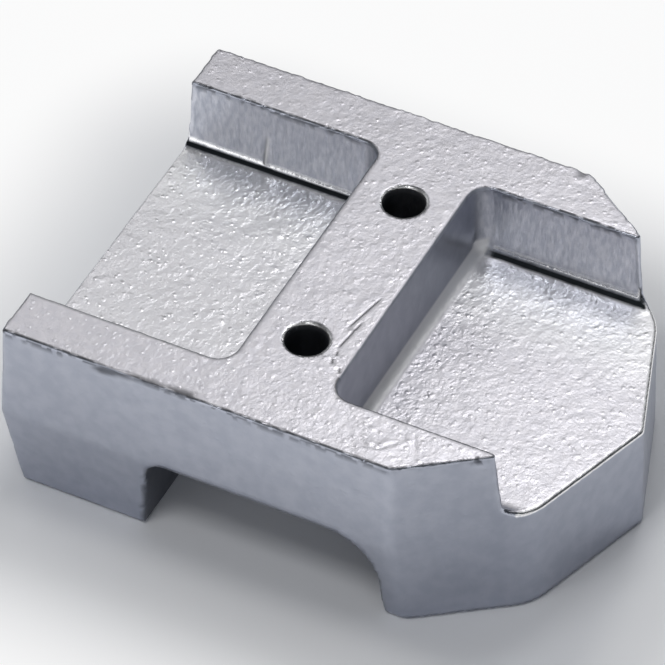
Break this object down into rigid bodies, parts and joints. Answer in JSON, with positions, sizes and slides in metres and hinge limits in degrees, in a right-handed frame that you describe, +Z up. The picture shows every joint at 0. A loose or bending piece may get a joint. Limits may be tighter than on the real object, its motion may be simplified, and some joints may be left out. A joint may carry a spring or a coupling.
{
  "type": "sacrificial anode",
  "caption": "Cast zinc block anode with a pointed nose, open pockets on top, a cross channel below and bolt holes through the web.",
  "frame": {"origin": "middle of the base, on the plane that the two feet stand on", "axes": "+X from the tail to the pointed nose, +Y along the line of the two bolt holes, +Z up, out of the open pockets"},
  "size_m": [0.0957, 0.074, 0.0345],
  "materials": {
    "cast_zinc": null
  },
  "bodies": {
    "root": {"anode_block": "cast_zinc"}
  },
  "joints": []
}
